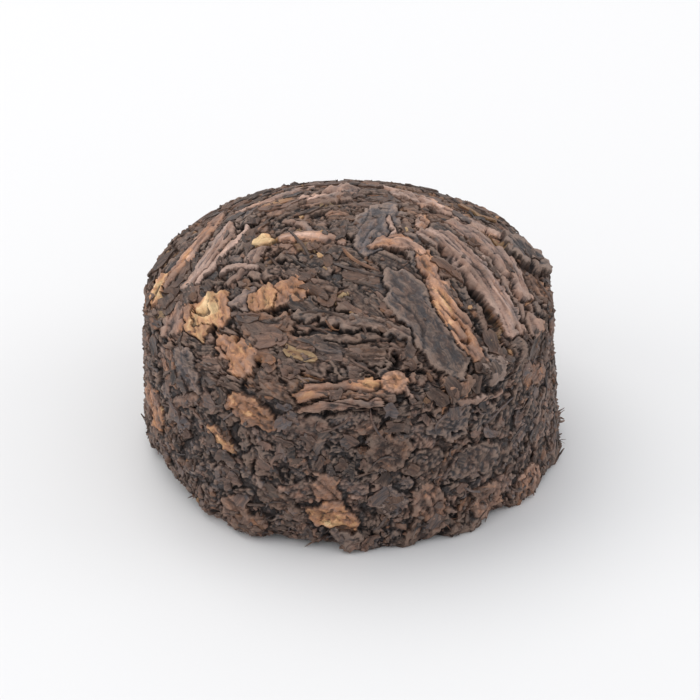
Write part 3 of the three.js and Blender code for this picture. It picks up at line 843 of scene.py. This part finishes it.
def build_tea_surface():
    """Colour, roughness and relief of dried ripe tea: pale crests of dust and painted sheen, furrows
    darkened with painted shade, wrinkles and fibre.
    """
    group = bpy.data.node_groups.new("tea_surface", "ShaderNodeTree")
    face = group.interface
    for name, kind, value in (
        ("Place", "NodeSocketVector", None),
        ("Tone", "NodeSocketFloat", 0.3),
        ("Shade", "NodeSocketFloat", 0.5),
        ("Depth", "NodeSocketFloat", 1.0),
        ("Crest", "NodeSocketFloat", 0.5),
        ("DustAndSheen", "NodeSocketFloat", 0.5),
    ):
        socket = face.new_socket(name=name, in_out="INPUT", socket_type=kind)
        if value is not None:
            socket.default_value = value
    face.new_socket(name="Color", in_out="OUTPUT", socket_type="NodeSocketColor")
    face.new_socket(name="Roughness", in_out="OUTPUT", socket_type="NodeSocketFloat")
    face.new_socket(name="Height", in_out="OUTPUT", socket_type="NodeSocketFloat")
    nodes, links = group.nodes, group.links
    given = nodes.new("NodeGroupInput")
    out = nodes.new("NodeGroupOutput")

    def calc(operation, a, b=None, clamp=False):
        node = nodes.new("ShaderNodeMath")
        node.operation = operation
        node.use_clamp = clamp
        for slot, value in zip(node.inputs, (a, b)):
            if value is None:
                continue
            if isinstance(value, (int, float)):
                slot.default_value = value
            else:
                links.new(value, slot)
        return node.outputs[0]

    def stretched_noise(scale, detail):
        squeeze = nodes.new("ShaderNodeVectorMath")
        squeeze.operation = "MULTIPLY"
        squeeze.inputs[1].default_value = scale
        links.new(given.outputs["Place"], squeeze.inputs[0])
        texture = nodes.new("ShaderNodeTexNoise")
        texture.inputs["Scale"].default_value = 1
        texture.inputs["Detail"].default_value = detail
        texture.inputs["Roughness"].default_value = 0.6
        links.new(squeeze.outputs[0], texture.inputs["Vector"])
        return texture.outputs["Fac"]

    def mixed(factor, a, b):
        node = nodes.new("ShaderNodeMix")
        node.data_type = "RGBA"
        for slot, value in ((node.inputs[0], factor), (node.inputs[6], a), (node.inputs[7], b)):
            if isinstance(value, (int, float, tuple)):
                slot.default_value = value
            else:
                links.new(value, slot)
        return node.outputs[2]

    wrinkles = stretched_noise((0.9, 5.5, 1), 3)
    fibre = stretched_noise((2.2, 20, 1), 3)
    mottle = stretched_noise((1.1, 1.8, 1), 4)
    grains = stretched_noise((9, 11, 1), 2)

    # By tone, tea goes from black over brown and rust to golden.
    tones = nodes.new("ShaderNodeValToRGB")
    ramp = tones.color_ramp
    ramp.elements[0].color = (0.061, 0.052, 0.054, 1)
    ramp.elements[1].color = (0.540, 0.370, 0.195, 1)
    for place, colour in (
        (0.12, (0.080, 0.053, 0.045, 1)),
        (0.30, (0.136, 0.077, 0.057, 1)),
        (0.50, (0.203, 0.106, 0.069, 1)),
        (0.70, (0.325, 0.150, 0.073, 1)),
        (0.85, (0.440, 0.245, 0.115, 1)),
    ):
        ramp.elements.new(place).color = colour
    wander = calc("ADD", calc("MULTIPLY", mottle, 0.8), calc("MULTIPLY", wrinkles, 0.5))
    wander = calc("SUBTRACT", wander, 0.68)
    links.new(calc("ADD", given.outputs["Tone"], wander, clamp=True), tones.inputs[0])

    shade = calc("ADD", given.outputs["Shade"], 0.38)
    shade = calc("MULTIPLY", shade, calc("ADD", calc("MULTIPLY", grains, 0.7), 0.65))
    shaded = nodes.new("ShaderNodeVectorMath")
    shaded.operation = "SCALE"
    links.new(tones.outputs[0], shaded.inputs[0])
    links.new(shade, shaded.inputs["Scale"])
    bleached = nodes.new("ShaderNodeHueSaturation")
    links.new(shaded.outputs[0], bleached.inputs["Color"])
    pale = calc("SUBTRACT", calc("MULTIPLY", given.outputs["Shade"], 0.8), 0.8, clamp=True)
    links.new(calc("SUBTRACT", 1.0, calc("MULTIPLY", pale, 0.3)), bleached.inputs["Saturation"])

    small_folds = calc("ADD", calc("MULTIPLY", wrinkles, 0.7), calc("MULTIPLY", fibre, 0.5))
    small_folds = calc("MULTIPLY", calc("SUBTRACT", small_folds, 0.6), 1.3)
    stands = calc("ADD", calc("SUBTRACT", given.outputs["Crest"], 0.5), small_folds)
    crest = calc("MULTIPLY", stands, 2.0, clamp=True)
    furrow = calc("MULTIPLY", stands, -2.2, clamp=True)
    # Pale crests: partly real dust, partly painted sheen where light catches the ridges; less of it on rust
    # and golden leaves.
    dust_and_sheen_colour = mixed(0.5, bleached.outputs[0], (0.43, 0.295, 0.225, 1))
    dust_and_sheen = calc("SUBTRACT", 1.0, calc("MULTIPLY", given.outputs["Tone"], 0.85), clamp=True)
    dust_and_sheen = calc("MULTIPLY", dust_and_sheen, given.outputs["DustAndSheen"])
    colour = mixed(calc("MULTIPLY", crest, dust_and_sheen), bleached.outputs[0], dust_and_sheen_colour)
    # Painted shade: where the relief dips below the points round it, the furrows go towards near black.
    colour = mixed(calc("MULTIPLY", furrow, 0.8), colour, (0.016, 0.010, 0.009, 1))
    # Painted shade: deep down in the cracks the colour goes towards near black.
    colour = mixed(given.outputs["Depth"], (0.012, 0.007, 0.006, 1), colour)
    links.new(colour, out.inputs["Color"])

    rough = calc("ADD", calc("MULTIPLY", mottle, 0.35), 0.42)
    links.new(rough, out.inputs["Roughness"])
    relief = calc("ADD", calc("MULTIPLY", wrinkles, 0.5), calc("MULTIPLY", fibre, 0.3))
    links.new(calc("ADD", relief, calc("MULTIPLY", grains, 0.4)), out.inputs["Height"])
    return group


tea_surface = build_tea_surface()


def tea_material(name, dust_and_sheen, relief):
    """A tea finish: how pale its crests are with dust and painted sheen, and how deep its wrinkles, in
    metres.
    """
    finish = bpy.data.materials.new(name)
    finish.use_nodes = True
    nodes, links = finish.node_tree.nodes, finish.node_tree.links
    shader = nodes["Principled BSDF"]
    shader.inputs["Specular IOR Level"].default_value = 0.4
    surface = nodes.new("ShaderNodeGroup")
    surface.node_tree = tea_surface
    surface.inputs["DustAndSheen"].default_value = dust_and_sheen
    place = nodes.new("ShaderNodeUVMap")
    place.uv_map = "leaf"
    links.new(place.outputs[0], surface.inputs["Place"])
    values = nodes.new("ShaderNodeAttribute")
    values.attribute_name = "tea"
    split = nodes.new("ShaderNodeSeparateColor")
    links.new(values.outputs["Color"], split.inputs[0])
    for source, value in enumerate(("Tone", "Shade", "Depth")):
        links.new(split.outputs[source], surface.inputs[value])
    links.new(values.outputs["Alpha"], surface.inputs["Crest"])
    links.new(surface.outputs["Color"], shader.inputs["Base Color"])
    links.new(surface.outputs["Roughness"], shader.inputs["Roughness"])
    bump = nodes.new("ShaderNodeBump")
    bump.inputs["Strength"].default_value = 1
    bump.inputs["Distance"].default_value = relief
    links.new(surface.outputs["Height"], bump.inputs["Height"])
    links.new(bump.outputs[0], shader.inputs["Normal"])
    return finish


def finish_piece(piece, material, smooth_under):
    """Gives a piece its finish and its place in the part, smooth but for angles over that many degrees."""
    piece.data.materials.clear()
    piece.data.materials.append(material)
    bpy.ops.object.select_all(action="DESELECT")
    piece.select_set(True)
    bpy.context.view_layer.objects.active = piece
    bpy.ops.object.shade_smooth_by_angle(angle=math.radians(smooth_under))
    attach(piece, "root")
    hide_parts("tuocha")


# The cap and the wall each run on this far under the edge of the next piece.
LAP = 0.3
packed_tea = tea_material("packed_tea", 1.0, 0.00014)
finish_piece(press_cap("pressed_cap", (31, 3), 0.0, shoulder_end + LAP), packed_tea, 80)
finish_piece(press_band("pressed_wall", 780, 124, shoulder_end, wall_end + LAP), packed_tea, 80)
finish_piece(press_cap("pressed_foot", (23, 3), full_length, wall_end), packed_tea, 80)

# The loose flakes: thin bits of leaf that flaked off and dried flat on the face, with their edges free.
# One slip of a few faces is modelled, and each copy is cut, bowed and curled in its own way.
FLAKES = 1100
FLAKE_THICKNESS = 0.12
LONG_PIECE = 1.6
PALE_PIECE = 0.35
GOLDEN = 0.6


def shape_of(model):
    """A modelled piece as plain arrays: its points, and the corners and sizes of its faces."""
    mesh = model.data
    corners = np.empty(len(mesh.loops), dtype=np.int32)
    mesh.loops.foreach_get("vertex_index", corners)
    sizes = np.empty(len(mesh.polygons), dtype=np.int32)
    mesh.polygons.foreach_get("loop_total", sizes)
    points = points_of(mesh)
    bpy.data.objects.remove(model)
    return points, corners, sizes


def lay_on_face(name, model, leaves, shaped, follow):
    """One mesh of copies of a modelled piece. Each copy is shaped in its own way and laid on the relief."""
    points, corners, sizes = shape_of(model)
    along, across, lift = np.stack([shaped(leaf, *points.T) for leaf in leaves], axis=1)
    spots = [face_place(leaf, x, y) for leaf, x, y in zip(leaves, along, across)]
    s, bearing = np.concatenate(spots, axis=1)
    height = press(s, bearing)[0].reshape(along.shape)
    level = height.mean(axis=1)[:, None]
    h = level + follow * (height - level) + lift
    places = placed(s, bearing, h.ravel())
    copies = np.arange(len(leaves))[:, None]
    mesh = bpy.data.meshes.new(name)
    mesh.vertices.add(len(places))
    mesh.vertices.foreach_set("co", (places * MM).ravel())
    all_corners = (corners[None] + copies * len(points)).ravel()
    mesh.loops.add(len(all_corners))
    mesh.loops.foreach_set("vertex_index", all_corners)
    all_sizes = np.tile(sizes, len(leaves))
    mesh.polygons.add(len(all_sizes))
    mesh.polygons.foreach_set("loop_start", np.concatenate([[0], np.cumsum(all_sizes)[:-1]]))
    mesh.update(calc_edges=True)
    tone, shade, seed = (
        np.repeat([leaf[key] for leaf in leaves], len(points)) for key in ("tone", "shade", "seed")
    )
    # Raised parts of each copy get pale crests of dust and painted sheen, and its low parts painted shade.
    crest = np.clip(0.5 + 2 * (lift - lift.mean(axis=1)[:, None]), 0, 1).ravel()
    tea_layers(
        mesh,
        np.column_stack([tone, shade, np.ones(len(tone)), crest]),
        np.column_stack([along.ravel() + seed, across.ravel() + seed]),
    )
    piece = bpy.data.objects.new(name, mesh)
    scene.collection.objects.link(piece)
    return piece


def mostly_clear(leaves, kept):
    """The leaves that lie off the ring it rests on, and off the leaves that stand out, but for a few.

    No long or pale piece is kept on those that stand out, and nothing is kept on a golden leaf.
    """
    s, bearing, length, tone = np.array(
        [(leaf["s"], leaf["bearing"], leaf["length"], leaf["tone"]) for leaf in leaves]
    ).T
    covered = np.zeros(len(leaves), dtype=bool)
    for leaf in standing_out:
        x, y = along_and_across(leaf, s, bearing)
        y = y - leaf["bow"] * (1 - np.minimum(np.abs(2 * x / leaf["length"]), 1) ** 2)
        room = 0.12 * length - 0.1
        over = (np.abs(x) < leaf["length"] / 2 + room) & (np.abs(y) < leaf["width"] / 2 + room)
        kept_here = kept if leaf["tone"] < GOLDEN else 0
        removed = rng.random(len(leaves)) > kept_here
        covered |= over & (removed | (length > LONG_PIECE) | (tone > PALE_PIECE))
    covered |= np.hypot(*along_and_across(STEM_END, s, bearing)) < 0.9 + 0.4 * length
    covered |= (s > edge_end - 0.2) & (s < ring_end + 0.4)
    return [leaf for leaf, hidden in zip(leaves, covered) if not hidden]


bpy.ops.object.select_all(action="DESELECT")
bpy.ops.mesh.primitive_grid_add(x_subdivisions=7, y_subdivisions=2, size=2)
flake_model = bpy.context.object
bpy.ops.object.mode_set(mode="EDIT")
bpy.ops.mesh.select_all(action="SELECT")
bpy.ops.mesh.extrude_region_move(TRANSFORM_OT_translate={"value": (0, 0, -1)})
bpy.ops.mesh.select_all(action="SELECT")
bpy.ops.mesh.normals_make_consistent(inside=False)
bpy.ops.object.mode_set(mode="OBJECT")


def flake_shape(leaf, x, y, z):
    outline = 1 - leaf["taper"] * np.abs(x) ** 3
    outline = outline + 0.3 * fold_noise(2.6 * x, 9 * np.sign(y), leaf["seed"])
    across = y * leaf["width"] / 2 * outline + leaf["bow"] * (1 - x**2)
    along = x * leaf["length"] / 2 + 0.12 * leaf["width"] * np.sin(4 * y + leaf["seed"])
    curl = 0.08 * math.sin(leaf["seed"]) * (x**2 + y**2)
    return along, across, 0.05 + curl + FLAKE_THICKNESS * z


loose_tea = tea_material("loose_tea", 0.9, 0.0001)
flakes = strew(FLAKES, (0.7, 2.4), (0.35, 0.9))
for leaf in flakes:
    leaf["taper"] *= 0.6
flakes = mostly_clear(flakes, 0.25)
finish_piece(lay_on_face("loose_flakes", flake_model, flakes, flake_shape, 0.6), loose_tea, 50)

# The threads: veins and fine stalks that came off the leaves, and the bristles at the broken base edge. A
# thin five-sided tube is modelled, and each copy is bowed, waved and laid on the face.
THREADS = 380
BRISTLES = 70

bpy.ops.object.select_all(action="DESELECT")
bpy.ops.mesh.primitive_grid_add(x_subdivisions=5, y_subdivisions=7, size=2)
thread_model = bpy.context.object
around, along, _ = points_of(thread_model.data).T
tube = np.stack([along, np.cos(math.pi * around), np.sin(math.pi * around)], axis=1)
thread_model.data.vertices.foreach_set("co", tube.ravel())
bpy.ops.object.mode_set(mode="EDIT")
bpy.ops.mesh.select_all(action="SELECT")
bpy.ops.mesh.remove_doubles(threshold=0.001)
bpy.ops.mesh.fill_holes(sides=0)
bpy.ops.mesh.normals_make_consistent(inside=False)
bpy.ops.object.mode_set(mode="OBJECT")


def thread_shape(leaf, x, y, z):
    radius = leaf["width"] / 2 * (1 - 0.6 * x**4)
    across = y * radius + leaf["bow"] * (1 - x**2) + 0.06 * np.sin(2.6 * x + leaf["seed"])
    lift = z * radius + 0.5 * radius + leaf["rise"] * np.maximum(x, 0) ** 2
    return x * leaf["length"] / 2, across, lift


threads = []
for leaf in strew(THREADS, (0.9, 4.5), (0.09, 0.22)):
    threads.append(dict(leaf, rise=0.0, tone=0.7 * leaf["tone"]))
for leaf in strew(BRISTLES, (0.8, 2.0), (0.06, 0.14)):
    heading = rng.uniform(0, 2 * math.pi)
    threads.append(
        dict(leaf, s=rng.uniform(wall_end - 1.0, edge_middle), heading=heading, rise=rng.uniform(0.1, 0.7))
    )
threads = mostly_clear(threads, 0.4)
finish_piece(lay_on_face("loose_threads", thread_model, threads, thread_shape, 0.5), loose_tea, 60)

# The crumbs: leaf broken small, which clings all over the face and thickest along the base edge. A ball of
# twenty faces is modelled, and each copy is flattened and bent in its own way.
CRUMBS = 2200
EDGE_CRUMBS = 500

bpy.ops.object.select_all(action="DESELECT")
bpy.ops.mesh.primitive_ico_sphere_add(subdivisions=1, radius=1)
crumb_model = bpy.context.object


def crumb_shape(leaf, x, y, z):
    along = x * leaf["length"] / 2
    across = y * leaf["width"] / 2 + 0.2 * leaf["width"] * np.sin(3 * x + leaf["seed"])
    return along, across, 0.4 * leaf["width"] * (z + 0.3 * np.sin(4 * y + leaf["seed"]) + 0.1)


crumbs = strew(CRUMBS, (0.16, 0.7), (0.14, 0.4))
for leaf in strew(EDGE_CRUMBS, (0.3, 0.9), (0.2, 0.5)):
    crumbs.append(dict(leaf, s=rng.uniform(wall_end - 1.4, edge_middle)))
crumbs = mostly_clear(crumbs, 0.3)
finish_piece(lay_on_face("loose_crumbs", crumb_model, crumbs, crumb_shape, 0), loose_tea, 30)
